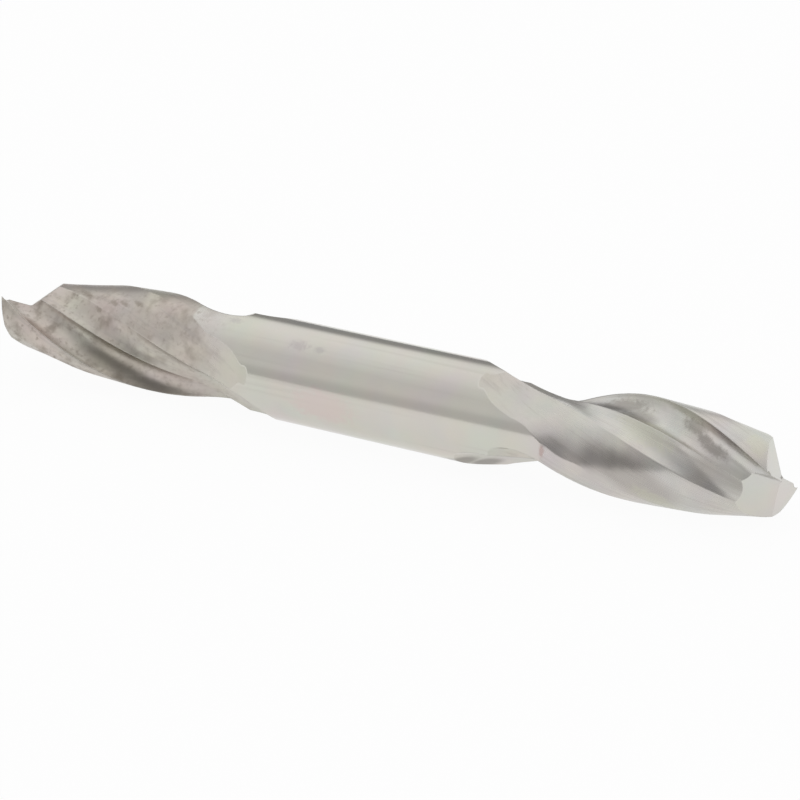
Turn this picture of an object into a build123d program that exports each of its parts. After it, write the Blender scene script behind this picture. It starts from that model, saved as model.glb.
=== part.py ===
from build123d import *
from math import atan2, cos, degrees, hypot, radians, sin, sqrt, tan
import os

# A double-end square end mill: one bar of tool steel with a plain round shank
# and a two-flute, right-hand cutting head ground on each end.
# The tool lies along X with the origin at the middle of its shank. Sizes are millimetres.

# Overall sizes
diameter = 12.7
shank_diameter = 12.69
new_length = 105.2
left_regrind = 1.0
head_length = 28.2
helix_angle = 28.1
teeth = 2

# Roll of the first tooth of each head at its end plane, from +Z towards -Y
right_head_roll = 57.5
left_head_roll = 46.0

# Gullet section in polar form: angle from the cutting edge, distance from the axis
hook_angle = 10.0
rake_flat = 0.4
ridge_angle = 38.5
ridge_radius = 3.9
floor_angle = 66.0
floor_radius = 3.39
floor_exit_angle = 91.0
floor_exit_radius = 4.46

# Back of the tooth ahead, in the same polar form
back_entry_angle = 83.0
back_entry_radius = 4.11
back_angle = 123.0
back_radius = 5.01
back_exit_angle = 159.0
back_exit_radius = 6.39
back_lead_angle = -10.0

# Land behind each cutting edge
margin_width = 0.25
land_entry_angle = 187.5
land_entry_radius = 6.44
land_exit_angle = 137.6
land_exit_radius = 5.94

# Full-depth lengths of the three ground cuts, and how the wheels leave them
gullet_length = 28.1
gullet_rim_radius = 43.9
gullet_lift_angle = 57.8
gullet_wheel_tilt = 27.1
back_length = 23.4
back_rim_radius = 10.55
back_lift_angle = 159.5
back_wheel_tilt = 2.7
relief_length = 24.5
relief_rim_radius = 15.0
relief_lift_angle = 155.0

# End teeth
right_gash_angle = 34.7
left_gash_angle = 40.0
gash_opening = 126.0
gash_corner_radius = 0.5
web_thickness = 0.4
end_relief_angle = 16.0
end_dish_angle = 1.0

# Values worked out from those above
radius = diameter / 2
half_length = new_length / 2
tooth_pitch = 360 / teeth
twist_per_mm = degrees(tan(radians(helix_angle)) / radius)
station_step = 8.0 / twist_per_mm
lead_in = radius / 3
clear = 1.5 * radius


def polar(distance, angle):
    """Point of a section at a distance from the axis and an angle."""
    return (distance * cos(radians(angle)), distance * sin(radians(angle)))


def head_plane(depth, helix_depth, shift=0.0, shift_angle=0.0):
    """Section plane at a depth behind the end, turned as far as the helix at helix_depth.

    Its x axis points at the cutting edge and its y axis into the flute.
    """
    turn = -twist_per_mm * helix_depth
    towards_edge = Vector(0, 0, 1).rotate(Axis.X, turn)
    towards_shift = Vector(0, 0, 1).rotate(Axis.X, turn + shift_angle)
    origin = Vector(half_length - depth, 0, 0) + shift * towards_shift
    return Plane(origin=origin, x_dir=towards_edge, z_dir=(1, 0, 0))


def wheel_plane(depth, full_depth_length, rim_radius, lift_angle, wheel_tilt=0.0):
    """Section plane of a ground cut, with its run-out.

    At full depth the section turns with the helix. Past it the wheel stands still:
    the section climbs with the wheel's rim and slides aside by the wheel's tilt.
    """
    travel = max(0.0, depth - full_depth_length)
    lift = travel**2 / (2 * rim_radius)
    slide = travel * tan(radians(wheel_tilt))
    shift_angle = lift_angle - degrees(atan2(slide, lift))
    return head_plane(depth, depth - travel, hypot(lift, slide), shift_angle)


def run_out(full_depth_length, rim_radius, climb):
    """Depth at which a wheel has climbed by a given height."""
    return full_depth_length + sqrt(2 * rim_radius * climb)


def stations(last):
    """Evenly spaced depths from just in front of the end to the last one."""
    count = round((last + lead_in) / station_step) + 2
    return [-lead_in + (last + lead_in) * index / (count - 1) for index in range(count)]


# Gullet cutter: hooked rake face, gullet bottom and hollow core floor
cutting_edge = polar(radius, 0)
with BuildPart() as gullet_cutter:
    last = run_out(gullet_length, gullet_rim_radius, 1.25 * (radius - floor_radius))
    for depth in stations(last):
        section = wheel_plane(depth, gullet_length, gullet_rim_radius,
                              gullet_lift_angle, gullet_wheel_tilt)
        with BuildSketch(section):
            with BuildLine():
                outer_rake = PolarLine(cutting_edge, clear, hook_angle)
                inner_rake = PolarLine(cutting_edge, -rake_flat, hook_angle)
                gullet = TangentArc(inner_rake @ 1, polar(ridge_radius, ridge_angle),
                                    tangent=inner_rake % 1)
                floor = ThreePointArc(gullet @ 1, polar(floor_radius, floor_angle),
                                      polar(floor_exit_radius, floor_exit_angle))
                wall = PolarLine(floor @ 1, clear, direction=floor % 1)
                Polyline(wall @ 1, (-clear, 2 * clear), (2 * clear, 2 * clear),
                         outer_rake @ 1)
            make_face()
    loft()

# Back cutter: the rounded back of the tooth ahead, from the core to its heel
with BuildPart() as back_cutter:
    last = run_out(back_length, back_rim_radius, 2 * radius)
    for depth in stations(last):
        section = wheel_plane(depth, back_length, back_rim_radius,
                              back_lift_angle, back_wheel_tilt)
        with BuildSketch(section):
            with BuildLine():
                back = ThreePointArc(polar(back_entry_radius, back_entry_angle),
                                     polar(back_radius, back_angle),
                                     polar(back_exit_radius, back_exit_angle))
                over_heel = PolarLine(back @ 1, clear, direction=back % 1)
                lead = PolarLine(back @ 0, 2 * clear, back_lead_angle)
                Polyline(over_heel @ 1, (-2 * clear, 2 * clear), (2 * clear, 2 * clear),
                         lead @ 1)
            make_face()
    loft()

# Relief cutter: the land falls away evenly from a narrow margin to the heel
margin_angle = degrees(margin_width / radius)
with BuildPart() as relief_cutter:
    last = run_out(relief_length, relief_rim_radius, 2 * (radius - land_exit_radius))
    for depth in stations(last):
        with BuildSketch(wheel_plane(depth, relief_length, relief_rim_radius,
                                     relief_lift_angle)):
            with BuildLine():
                land = ThreePointArc(polar(land_entry_radius, land_entry_angle),
                                     polar(radius, 180 - margin_angle),
                                     polar(land_exit_radius, land_exit_angle))
                Polyline(land @ 0, polar(clear, land_entry_angle),
                         polar(clear, land_exit_angle), land @ 1)
            make_face()
    loft()

# End cutters, set for the tooth whose corner is straight up at a new end
towards_corner = Vector(0, 0, 1)
into_flute = Vector(0, -1, 0)
end_outward = Vector(1, 0, 0)


def gash_cutter(gash_angle):
    """Rounded notch that opens an end tooth almost to the middle."""
    notch_bottom = towards_corner - tan(radians(gash_angle)) * end_outward
    notch_start = half_length * end_outward + web_thickness / 2 * into_flute
    with BuildPart() as cutter:
        with BuildSketch(Plane(origin=notch_start, x_dir=into_flute, z_dir=notch_bottom)):
            with BuildLine():
                front = PolarLine((0, 0), 2 * clear, 90)
                back_wall = PolarLine((0, 0), 2 * clear, 90 - gash_opening)
                Polyline(front @ 1, (2 * clear, 2 * clear), back_wall @ 1)
            make_face()
            fillet(vertices().sort_by_distance((0, 0))[0], gash_corner_radius)
        extrude(amount=2 * clear, both=True)
    return cutter.part


# The end face falls away behind its edge and towards the middle
dish_drop = tan(radians(end_dish_angle))
relief_drop = tan(radians(end_relief_angle))
end_face = Plane(
    origin=(half_length - radius * dish_drop, 0, 0),
    x_dir=towards_corner + dish_drop * end_outward,
    z_dir=end_outward - dish_drop * towards_corner - relief_drop * into_flute,
)
with BuildPart() as end_relief_cutter:
    with BuildSketch(end_face):
        with Locations((0, web_thickness)):
            Rectangle(clear, clear, align=(Align.MIN, Align.MAX))
    extrude(amount=clear)


def ground_half(gash_angle, regrind):
    """Half of the tool: shank and slightly tapered head, with every cut for each tooth.

    A reground end stands back, which puts its end cuts further along the helix.
    """
    end_place = half_length - regrind
    helix_turn = -twist_per_mm * regrind
    end_cutters = [cutter.translate((-regrind, 0, 0)).rotate(Axis.X, helix_turn)
                   for cutter in (gash_cutter(gash_angle), end_relief_cutter.part)]
    cutters = [gullet_cutter.part, back_cutter.part, relief_cutter.part] + end_cutters
    with BuildPart() as half:
        with BuildSketch(Plane.XY):
            with BuildLine():
                Polyline((0, 0), (0, shank_diameter / 2),
                         (half_length - head_length, shank_diameter / 2),
                         (end_place, radius), (end_place, 0), close=True)
            make_face()
        revolve(axis=Axis.X)
        for tooth in range(teeth):
            for cutter in cutters:
                add(cutter.rotate(Axis.X, tooth * tooth_pitch), mode=Mode.SUBTRACT)
    return half.part


# The tool: two halves back to back, each rolled as it was ground
right_half = ground_half(right_gash_angle, 0).rotate(Axis.X, right_head_roll)
left_half = ground_half(left_gash_angle, left_regrind).rotate(Axis.Z, 180)
left_half = left_half.rotate(Axis.X, left_head_roll)
with BuildPart() as end_mill:
    add(right_half)
    add(left_half)

os.makedirs("parts", exist_ok=True)
end_mill.part.label = "end_mill"
export_step(end_mill.part, "parts/end_mill.step")
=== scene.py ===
import bpy
from math import cos, radians, sin
from types import SimpleNamespace
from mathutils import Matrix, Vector

# A double-end end mill of ground tool steel, lying on white paper in a soft white tent.
# Metres, with the tool along X and the origin at the middle of its shank.
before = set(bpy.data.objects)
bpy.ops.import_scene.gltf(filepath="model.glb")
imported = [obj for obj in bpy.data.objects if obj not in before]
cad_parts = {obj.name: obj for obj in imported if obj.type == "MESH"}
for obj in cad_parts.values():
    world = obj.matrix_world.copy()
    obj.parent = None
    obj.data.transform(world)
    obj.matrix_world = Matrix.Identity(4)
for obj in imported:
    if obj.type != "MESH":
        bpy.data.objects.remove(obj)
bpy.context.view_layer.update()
scene = bpy.context.scene
scene.view_settings.view_transform = "Standard"

# Sizes of the tool, and the turn of its helix in radians per metre
RADIUS = 0.00635
SHANK_RADIUS = 0.006345
EDGE_RADIUS = 0.0002
TWIST = radians(4822)

# Distances from the axis at which the shank's skin begins and is full
SHANK_SKIN = (SHANK_RADIUS - 0.00006, SHANK_RADIUS - 0.00003)

# Distances from the middle at which the shank and the heads' own finish begin and are full
SHANK_ENDS = (0.0249, 0.0244)
HEAD_FINISH = (0.015, 0.027)

# Places along the tool at which the stains of the left head begin and are full or thickest
STAINS = (-0.0165, -0.0255)
THICKEST_STAINS = (-0.034, -0.044)

# Colours of the steel, and of the shade painted on it
SHANK = (0.625, 0.602, 0.55, 1)
RIGHT_HEAD = (0.62, 0.598, 0.555, 1)
RIGHT_SHADE = (0.585, 0.565, 0.533, 1)
LEFT_HEAD = (0.585, 0.542, 0.485, 1)
LEFT_SHADE = (0.53, 0.483, 0.435, 1)
RUN_OUT = (0.56, 0.533, 0.472, 1)
END_FACE = (0.65, 0.632, 0.585, 1)
WORN_EDGE = (0.7, 0.685, 0.65, 1)
HANDLED = (0.52, 0.5, 0.455, 1)
# Rubbed steel, and also the colour of a painted shade band on the right head
RUBBED_AND_SHADE = (0.42, 0.39, 0.365, 1)
STAIN = (0.28, 0.24, 0.2, 1)
# Painted shade in the left head's gullet
GULLET_SHADE = (0.15, 0.135, 0.105, 1)
# Painted shade, the colour of the dark marks in the flutes and on the flat underneath
PAINTED_SHADE = (0.24, 0.22, 0.195, 1)
YELLOW_MARK = (0.6, 0.6, 0.47, 1)
RED_MARK = (0.42, 0.25, 0.22, 1)
PINK_MARK = (0.65, 0.55, 0.52, 1)
GREY_MARK = (0.45, 0.42, 0.42, 1)
MIDDLE_GREY = (0.5, 0.5, 0.5, 1)
DOUBLE = (2, 2, 2, 1)

# Paper, floor and tent
PAPER_SHADE = (0.84, 0.84, 0.84, 1)
PAPER_LIGHT = (0.87, 0.87, 0.87, 1)
PAPER_ROUGHNESS = 0.9
PAPER_IN_CAMERA = 0.95
PAPER_IN_MIRRORS = 0.85
FLOOR_SIZE = 8
WHITE = (1, 1, 1, 1)

# Grain of the noises in waves per metre, in all directions or along the tool and across it
RING_GRAIN = (6000, 300, 300)
STROKE_GRAIN = (140, 3600, 3600)
STREAK_GRAIN = (70, 1300, 1300)
HOLDER_GRAIN = (22, 1100, 1100)
TINT_GRAIN = 190
CLOUD_GRAIN = 420
BLOT_GRAIN = 560
SPECK_GRAIN = 1500
WAVY_GRAIN = 1500
RAGGED_GRAIN = 3000
FIBRE_GRAIN = 900

# Values of a noise, or of the cosine between two directions, at which a mask begins and is full
CLOUD_LIMITS = (0.35, 0.65)
HOLDER_LIMITS = (0.5, 0.75)
STREAK_LIMITS = (0.5, 0.72)
BLOT_LIMITS = (0.46, 0.74)
SPECK_LIMITS = (0.5, 0.82)
FIBRE_LIMITS = (0.3, 0.7)
END_ON_LIMITS = (0.45, 0.6)
WORN_LIMITS = (0.99, 0.9)

# How strongly each layer of the finish shows
RUN_OUT_SHARE = 0.25
TINT_SHARE = 0.075
HOLDER_SHARE = 0.4
STREAK_SHARE = 0.38
STAIN_SHARE = 0.36
THICKEST_SHARE = 0.55
WORN_SHARE = 0.5
FLUTE_SHADE = 0.5

# Roughness of the shank, and what each finish adds to it
SHANK_ROUGHNESS = 0.15
HEAD_ROUGHNESS = 0.13
STAINED_HEAD_ROUGHNESS = 0.08
STAIN_ROUGHNESS = 0.4
LINE_ROUGHNESS = 0.1
END_LINE_ROUGHNESS = 0.03

# Relief of the grinding lines and of the unevenness under them
BUMP_STRENGTH = 0.15
BUMP_DISTANCE = 0.00001
SHANK_RELIEF = 0.25
CLOUD_RELIEF = 0.4

# Edges of the single marks, in half sizes: where a mark fades, and the most its edge is drawn in
MARK_FADE = (2.3, 1.5)
SMOOTH_EDGE = 1.0
WAVY_EDGE = 2.0
RAGGED_EDGE = 2.4

# Single marks on the heads, stains and painted shade: place on the tool with its helix unwound,
# half length, half width
# Painted shade in the right head's gullets, where they lie in shadow
RIGHT_GULLET_SHADE_MARKS = (
    ((0.0312, -0.0011, -0.0046), 0.0038, 0.001),
    ((0.0418, -0.0011, -0.0045), 0.0017, 0.0008),
    ((0.0433, -0.0005, -0.004), 0.0012, 0.0008),
    ((0.0449, -0.0001, -0.0037), 0.0019, 0.0008),
)
BROWN_MARKS = (
    ((-0.0371, 0.0009, -0.0044), 0.0009, 0.0005),
    ((-0.0358, 0.0003, -0.0047), 0.0013, 0.0004),
    ((-0.0337, -0.0007, -0.0051), 0.0012, 0.0004),
    ((-0.0391, 0.0023, -0.0032), 0.0008, 0.0004),
    ((-0.0420, 0.0017, -0.0041), 0.0014, 0.0006),
)
YELLOW_MARKS = (
    ((0.0505, -0.0033, -0.0052), 0.0016, 0.0013),
    ((0.0362, 0.002, -0.0029), 0.0038, 0.0016),
    ((0.0381, 0.0046, 0.0035), 0.0022, 0.001),
)
# Painted shade along the right head's flute seam and in its gullet
SHADED_MARKS = (
    ((0.0463, 0.002, -0.0028), 0.0044, 0.0016),
    ((0.0343, 0.0, -0.0039), 0.0026, 0.001),
)
# Painted shade in the left head's gullet, dark where it lies in its own shadow
LEFT_GULLET_SHADE_MARKS = (
    ((-0.0365, 0.0041, 0.0022), 0.0045, 0.0013),
    ((-0.0325, 0.005, 0.003), 0.0045, 0.0011),
)
SMUDGES = (
    ((-0.0425, -0.0005, -0.005), 0.004, 0.0016),
    ((-0.0362, -0.002, -0.0052), 0.004, 0.0016),
)
# A painted shade band below the right head's seam
SHADE_BAND_MARKS = (
    ((0.0358, 0.0047, 0.0021), 0.0058, 0.0023),
)

# Single marks on the shank and beside it, and painted shade on the flat under it: place, half
# length, half width
RED_MARKS = (
    ((0.0249, -0.0063, 0.0001), 0.0004, 0.0011),
)
PINK_MARKS = (
    ((-0.0045, -0.0063, -0.0006), 0.0045, 0.0024),
)
GREY_MARKS = (
    ((-0.0091, -0.0033, 0.0054), 0.0016, 0.0009),
    ((-0.0063, -0.0034, 0.0054), 0.0009, 0.0006),
    ((-0.019, -0.0018, 0.0061), 0.0011, 0.0006),
)
# Painted shade on the flat underneath, where it mirrors the floor in the tool's shadow
UNDERSIDE_SHADE_MARKS = (
    ((0.0132, -0.0034, -0.0051), 0.0024, 0.0013),
    ((0.0156, -0.0015, -0.0057), 0.0024, 0.0013),
)

# Camera: a long lens looking down on the tool from in front and to its right
CAMERA_AZIMUTH = 27.495
CAMERA_ELEVATION = 25.403
CAMERA_DISTANCE = 0.38103
CAMERA_TARGET = Vector((0.002946, 0, -0.000725))
LENS_MM = 140.75
SENSOR_MM = 36
NEAREST = 0.01
FARTHEST = 20

# Dim places of the tent: azimuth and elevation, degrees from there to edge and core, light lost
DIM_FRONT = ((0, 10), 90, 0, 0.27)
DIM_LOW_FRONT = ((338, 0), 27, 4, 0.13)
DIM_HIGH_LEFT = ((300, 60), 38, 10, 0.07)
DIM_CAMERA_SIDE = ((25, 19), 47, 22, 0.4)
DIM_REAR = ((218, 8), 28, 14, 0.68)

# Dim sides of the tent: degrees from straight sideways to edge and core, light lost
DIM_SIDES = (27, 10, 0.4)


def direction(azimuth, elevation):
    """Unit vector at an azimuth from the front towards the right, and an elevation, in degrees."""
    return Vector((
        sin(radians(azimuth)) * cos(radians(elevation)),
        -cos(radians(azimuth)) * cos(radians(elevation)),
        sin(radians(elevation)),
    ))


camera = bpy.data.objects.new("camera", bpy.data.cameras.new("camera"))
scene.collection.objects.link(camera)
camera.data.lens = LENS_MM
camera.data.sensor_width = SENSOR_MM
camera.data.clip_start = NEAREST
camera.data.clip_end = FARTHEST
to_camera = direction(CAMERA_AZIMUTH, CAMERA_ELEVATION)
camera.location = CAMERA_TARGET + to_camera * CAMERA_DISTANCE
camera.rotation_mode = "QUATERNION"
camera.rotation_quaternion = (-to_camera).to_track_quat("-Z", "Y")
scene.camera = camera


class Graph:
    """Short ways to add nodes to a shader tree. An input is a socket, a number or a colour."""

    def __init__(self, tree):
        self.tree = tree
        self.nodes = tree.nodes

    def put(self, socket, value):
        if isinstance(value, bpy.types.NodeSocket):
            self.tree.links.new(value, socket)
        else:
            socket.default_value = value

    def add(self, kind, inputs, **settings):
        node = self.nodes.new(kind)
        for name, value in settings.items():
            setattr(node, name, value)
        for key, value in inputs.items():
            self.put(node.inputs[key], value)
        return node

    def math(self, operation, first, second=0.0):
        return self.add("ShaderNodeMath", {0: first, 1: second}, operation=operation).outputs[0]

    def product(self, first, *others):
        for other in others:
            first = self.math("MULTIPLY", first, other)
        return first

    def total(self, first, *others):
        for other in others:
            first = self.math("ADD", first, other)
        return first

    def ramp(self, value, start, end, low=0.0, high=1.0):
        """Smooth step of a value between two limits."""
        inputs = {"Value": value, "From Min": start, "From Max": end, "To Min": low, "To Max": high}
        return self.add("ShaderNodeMapRange", inputs, interpolation_type="SMOOTHSTEP").outputs[0]

    def noise(self, vector, scale=1.0, detail=3.0, roughness=0.55):
        inputs = {"Vector": vector, "Scale": scale, "Detail": detail, "Roughness": roughness}
        return self.add("ShaderNodeTexNoise", inputs).outputs[0]

    def stretch(self, vector, scale):
        inputs = {0: vector, 1: scale}
        return self.add("ShaderNodeVectorMath", inputs, operation="MULTIPLY").outputs[0]

    def length(self, vector):
        return self.add("ShaderNodeVectorMath", {0: vector}, operation="LENGTH").outputs["Value"]

    def dot(self, vector, axis):
        inputs = {0: vector, 1: axis}
        return self.add("ShaderNodeVectorMath", inputs, operation="DOT_PRODUCT").outputs["Value"]

    def mix(self, factor, first, second, blend="MIX"):
        node = self.add("ShaderNodeMix", {}, data_type="RGBA", blend_type=blend)
        self.put(node.inputs[0], factor)
        self.put(node.inputs[6], first)
        self.put(node.inputs[7], second)
        return node.outputs[2]


def material(name):
    made = bpy.data.materials.new(name)
    made.use_nodes = True
    return made, Graph(made.node_tree), made.node_tree.nodes["Principled BSDF"]


def steel_zones(graph):
    """Spaces that the finish of the tool follows, and masks of its parts."""
    place = graph.add("ShaderNodeTexCoord", {}).outputs["Object"]
    along = graph.add("ShaderNodeSeparateXYZ", {0: place}).outputs[0]
    from_middle = graph.math("ABSOLUTE", along)
    from_axis = graph.length(graph.stretch(place, (0, 1, 1)))
    facing = graph.add("ShaderNodeNewGeometry", {}).outputs["Normal"]

    # The tool with its helix unwound, so that a flute runs straight along X
    unwound = graph.add(
        "ShaderNodeVectorRotate",
        {"Vector": place, "Angle": graph.product(along, -TWIST)},
        rotation_type="X_AXIS",
    ).outputs[0]

    # Everything but the shank's skin is ground along the helix, most coarsely on the heads
    in_middle = graph.ramp(from_middle, *SHANK_ENDS)
    shank = graph.product(in_middle, graph.ramp(from_axis, *SHANK_SKIN))
    ground = graph.math("SUBTRACT", 1.0, shank)
    end_on = graph.ramp(graph.math("ABSOLUTE", graph.dot(facing, (1, 0, 0))), *END_ON_LIMITS)
    return SimpleNamespace(
        place=place,
        unwound=unwound,
        along=along,
        facing=facing,
        shank=shank,
        ground=ground,
        end_on=end_on,
        flute=graph.math("SUBTRACT", ground, end_on),
        coarse=graph.product(ground, graph.ramp(from_middle, *HEAD_FINISH, RUN_OUT_SHARE, 1.0)),
        stained_head=graph.ramp(along, *STAINS),
    )


def grinding_lines(graph, zone):
    """Rings round the shank, and strokes along the helix elsewhere."""
    rings = graph.noise(graph.stretch(zone.place, RING_GRAIN), detail=2.0)
    strokes = graph.noise(graph.stretch(zone.unwound, STROKE_GRAIN), detail=4.0)
    return graph.add("ShaderNodeMix", {0: zone.ground, 2: rings, 3: strokes}).outputs[0]


def clean_colour(graph, zone, cloud):
    """Warm grey, browner on the stained head, faintly mottled pinkish and yellowish."""
    shaded = graph.ramp(cloud, *CLOUD_LIMITS)
    right_head = graph.mix(shaded, RIGHT_HEAD, RIGHT_SHADE)
    left_head = graph.mix(shaded, LEFT_HEAD, LEFT_SHADE)
    colour = graph.mix(zone.stained_head, right_head, left_head)
    colour = graph.mix(zone.coarse, RUN_OUT, colour)
    colour = graph.mix(zone.end_on, colour, END_FACE)
    colour = graph.mix(zone.shank, colour, SHANK)
    mottling = graph.add(
        "ShaderNodeTexNoise", {"Vector": zone.place, "Scale": TINT_GRAIN, "Detail": 3.0}).outputs[1]
    tint = graph.mix(TINT_SHARE, MIDDLE_GREY, mottling)
    return graph.mix(1.0, graph.mix(1.0, colour, tint, "MULTIPLY"), DOUBLE, "MULTIPLY")


def rubbed_colour(graph, zone, colour):
    """Faint lines along the shank from sliding in holders, and rubbed streaks along the flutes."""
    slides = graph.noise(graph.stretch(zone.place, HOLDER_GRAIN))
    handled = graph.product(graph.ramp(slides, *HOLDER_LIMITS), zone.shank, HOLDER_SHARE)
    streaks = graph.noise(graph.stretch(zone.unwound, STREAK_GRAIN), roughness=0.6)
    rubbed = graph.product(graph.ramp(streaks, *STREAK_LIMITS), zone.flute, STREAK_SHARE)
    return graph.mix(rubbed, graph.mix(handled, colour, HANDLED), RUBBED_AND_SHADE)


def stain_mask(graph, zone):
    """Brown blots and specks on the stained head, thickest at its tip."""
    blots = graph.ramp(graph.noise(zone.place, BLOT_GRAIN, detail=4.0), *BLOT_LIMITS)
    specks = graph.ramp(
        graph.noise(zone.place, SPECK_GRAIN, detail=2.0, roughness=0.5), *SPECK_LIMITS)
    share = graph.ramp(zone.along, *THICKEST_STAINS, STAIN_SHARE, THICKEST_SHARE)
    return graph.product(graph.math("MAXIMUM", blots, specks), zone.stained_head, share)


def mark_mask(graph, space, edge, places):
    """Mask of soft-edged marks, each at a place of a space, with a half length and width."""
    mask = 0.0
    for centre, half_length, half_width in places:
        offset = graph.add(
            "ShaderNodeVectorMath", {0: space, 1: centre}, operation="SUBTRACT").outputs[0]
        scaled = graph.stretch(offset, (1 / half_length, 1 / half_width, 1 / half_width))
        mark = graph.ramp(graph.total(graph.length(scaled), edge), *MARK_FADE)
        mask = graph.math("MAXIMUM", mask, mark)
    return mask


def marked_colour(graph, zone, colour):
    """Single marks over a colour, stains and painted shade, with smooth, wavy or ragged edges."""
    wavy_noise = graph.noise(zone.place, WAVY_GRAIN, detail=5.0, roughness=0.75)
    ragged_noise = graph.noise(zone.place, RAGGED_GRAIN, detail=4.0, roughness=0.7)
    smooth = SMOOTH_EDGE
    wavy = graph.product(wavy_noise, WAVY_EDGE)
    ragged = graph.product(ragged_noise, RAGGED_EDGE)
    in_flutes = graph.product(zone.flute, FLUTE_SHADE)
    for space, edge, places, share, mark_colour in (
        # painted shade in the right head's gullets
        (zone.unwound, wavy, RIGHT_GULLET_SHADE_MARKS, 0.6, PAINTED_SHADE),
        (zone.unwound, ragged, BROWN_MARKS, 0.6, STAIN),
        # painted shade in the left head's gullet
        (zone.unwound, smooth, LEFT_GULLET_SHADE_MARKS, 0.5, GULLET_SHADE),
        # painted shade along the right head's flutes
        (zone.unwound, smooth, SHADED_MARKS, in_flutes, PAINTED_SHADE),
        (zone.unwound, smooth, SMUDGES, 0.45, RUBBED_AND_SHADE),
        # painted shade band below the right head's seam
        (zone.unwound, smooth, SHADE_BAND_MARKS, 0.7, RUBBED_AND_SHADE),
        (zone.unwound, wavy, YELLOW_MARKS, 0.4, YELLOW_MARK),
        (zone.place, ragged, RED_MARKS, 0.45, RED_MARK),
        (zone.place, wavy, PINK_MARKS, 0.7, PINK_MARK),
        (zone.place, ragged, GREY_MARKS, 0.45, GREY_MARK),
        # painted shade on the flat underneath
        (zone.place, smooth, UNDERSIDE_SHADE_MARKS, 0.8, PAINTED_SHADE),
    ):
        mark = graph.product(mark_mask(graph, space, edge, places), share)
        colour = graph.mix(mark, colour, mark_colour)
    return colour


def steel_roughness(graph, zone, lines, stain):
    """The shank shines most, and the stained head is dullest."""
    line_share = graph.ramp(zone.end_on, 0.0, 1.0, LINE_ROUGHNESS, END_LINE_ROUGHNESS)
    return graph.total(
        SHANK_ROUGHNESS,
        graph.product(zone.coarse, HEAD_ROUGHNESS),
        graph.product(zone.stained_head, STAINED_HEAD_ROUGHNESS),
        graph.product(stain, STAIN_ROUGHNESS),
        graph.product(graph.math("SUBTRACT", lines, 0.5), line_share),
    )


def steel_relief(graph, zone, lines, cloud, rounded):
    """Normal of the surface: lines, strongest on the heads, and unevenness, over rounded edges."""
    relief = graph.math("SUBTRACT", graph.total(SHANK_RELIEF, zone.coarse), zone.end_on)
    height = graph.total(graph.product(lines, relief), graph.product(cloud, CLOUD_RELIEF))
    return graph.add(
        "ShaderNodeBump",
        {"Strength": BUMP_STRENGTH, "Distance": BUMP_DISTANCE, "Height": height, "Normal": rounded},
    ).outputs[0]


def ground_steel():
    """Ground tool steel: a smooth shank, streaked flutes, stained and rubbed heads, with shade
    painted into the flutes and on the flat underneath.
    """
    steel, graph, bsdf = material("ground_steel")
    bsdf.inputs["Metallic"].default_value = 1
    zone = steel_zones(graph)
    lines = grinding_lines(graph, zone)
    cloud = graph.noise(zone.place, CLOUD_GRAIN, detail=4.0, roughness=0.6)
    stain = stain_mask(graph, zone)
    rounded = graph.add("ShaderNodeBevel", {"Radius": EDGE_RADIUS}, samples=4).outputs[0]

    colour = rubbed_colour(graph, zone, clean_colour(graph, zone, cloud))
    colour = marked_colour(graph, zone, graph.mix(stain, colour, STAIN))
    worn = graph.product(graph.ramp(graph.dot(rounded, zone.facing), *WORN_LIMITS), WORN_SHARE)
    graph.put(bsdf.inputs["Base Color"], graph.mix(worn, colour, WORN_EDGE))
    graph.put(bsdf.inputs["Roughness"], steel_roughness(graph, zone, lines, stain))
    graph.put(bsdf.inputs["Normal"], steel_relief(graph, zone, lines, cloud, rounded))
    return steel


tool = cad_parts["end_mill"]
tool.data.materials.clear()
tool.data.materials.append(ground_steel())


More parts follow.
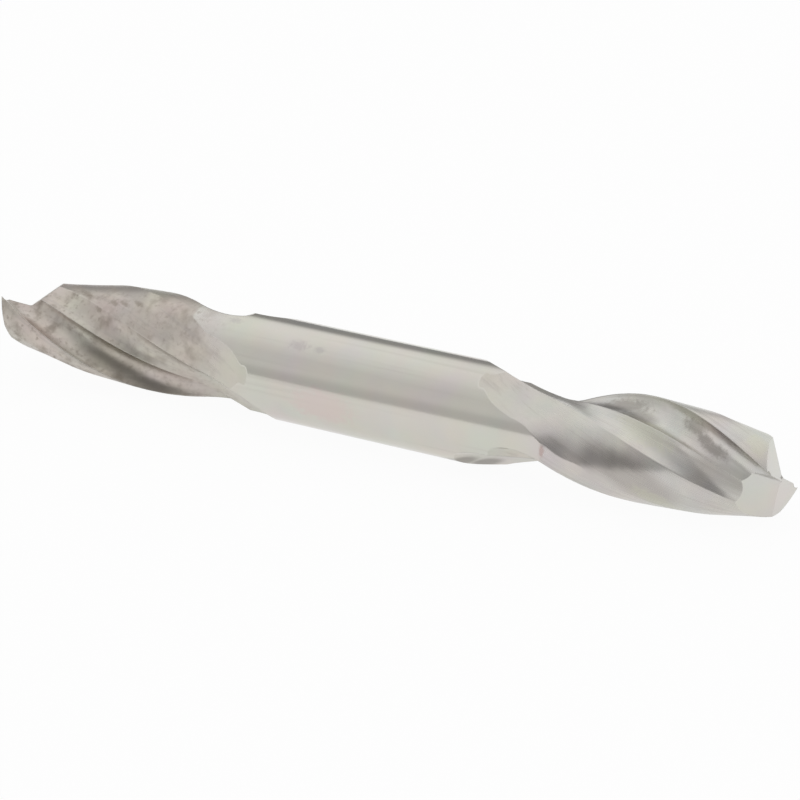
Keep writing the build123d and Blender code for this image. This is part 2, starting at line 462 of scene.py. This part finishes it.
def white_paper():
    """Matt white paper, which cameras and mirrors see as white with a faint shadow."""
    paper, graph, bsdf = material("white_paper")
    place = graph.add("ShaderNodeTexCoord", {}).outputs["Object"]
    fibre = graph.ramp(graph.noise(place, FIBRE_GRAIN), *FIBRE_LIMITS)
    graph.put(bsdf.inputs["Base Color"], graph.mix(fibre, PAPER_SHADE, PAPER_LIGHT))
    bsdf.inputs["Roughness"].default_value = PAPER_ROUGHNESS
    white = graph.add("ShaderNodeEmission", {"Strength": 1.0})
    path = graph.add("ShaderNodeLightPath", {})
    mirrored = graph.product(path.outputs["Is Glossy Ray"], PAPER_IN_MIRRORS)
    seen = graph.product(path.outputs["Is Camera Ray"], PAPER_IN_CAMERA)
    share = graph.math("MAXIMUM", mirrored, seen)
    surface = graph.add("ShaderNodeMixShader", {0: share, 1: bsdf.outputs[0], 2: white.outputs[0]})
    graph.put(graph.nodes["Material Output"].inputs["Surface"], surface.outputs[0])
    return paper


bpy.ops.mesh.primitive_plane_add(size=FLOOR_SIZE, location=(0, 0, -RADIUS))
floor = bpy.context.object
floor.name = "floor"
floor.data.materials.append(white_paper())


def dim_part(graph, nearness, edge, core, amount):
    """Light lost towards a direction, from the cosine to it and the angles of edge and core."""
    return graph.ramp(nearness, cos(radians(edge)), cos(radians(core)), 0.0, amount)


def white_tent():
    """World: a white tent, dimmer in places and at both sides, which cameras see as plain white."""
    world = bpy.data.worlds.new("white_tent")
    world.use_nodes = True
    graph = Graph(world.node_tree)
    ray = graph.add("ShaderNodeTexCoord", {}).outputs["Generated"]
    sideways = graph.math("ABSOLUTE", graph.dot(ray, (1, 0, 0)))
    dim = dim_part(graph, sideways, *DIM_SIDES)
    for towards, edge, core, amount in (
        DIM_FRONT, DIM_LOW_FRONT, DIM_HIGH_LEFT, DIM_CAMERA_SIDE, DIM_REAR,
    ):
        nearness = graph.dot(ray, direction(*towards))
        dim = graph.total(dim, dim_part(graph, nearness, edge, core, amount))
    tent = graph.math("SUBTRACT", 1.0, dim)
    path = graph.add("ShaderNodeLightPath", {})
    seen = graph.math("MAXIMUM", tent, path.outputs["Is Camera Ray"])
    graph.put(graph.nodes["Background"].inputs["Strength"], seen)
    graph.nodes["Background"].inputs["Color"].default_value = WHITE
    return world


scene.world = white_tent()
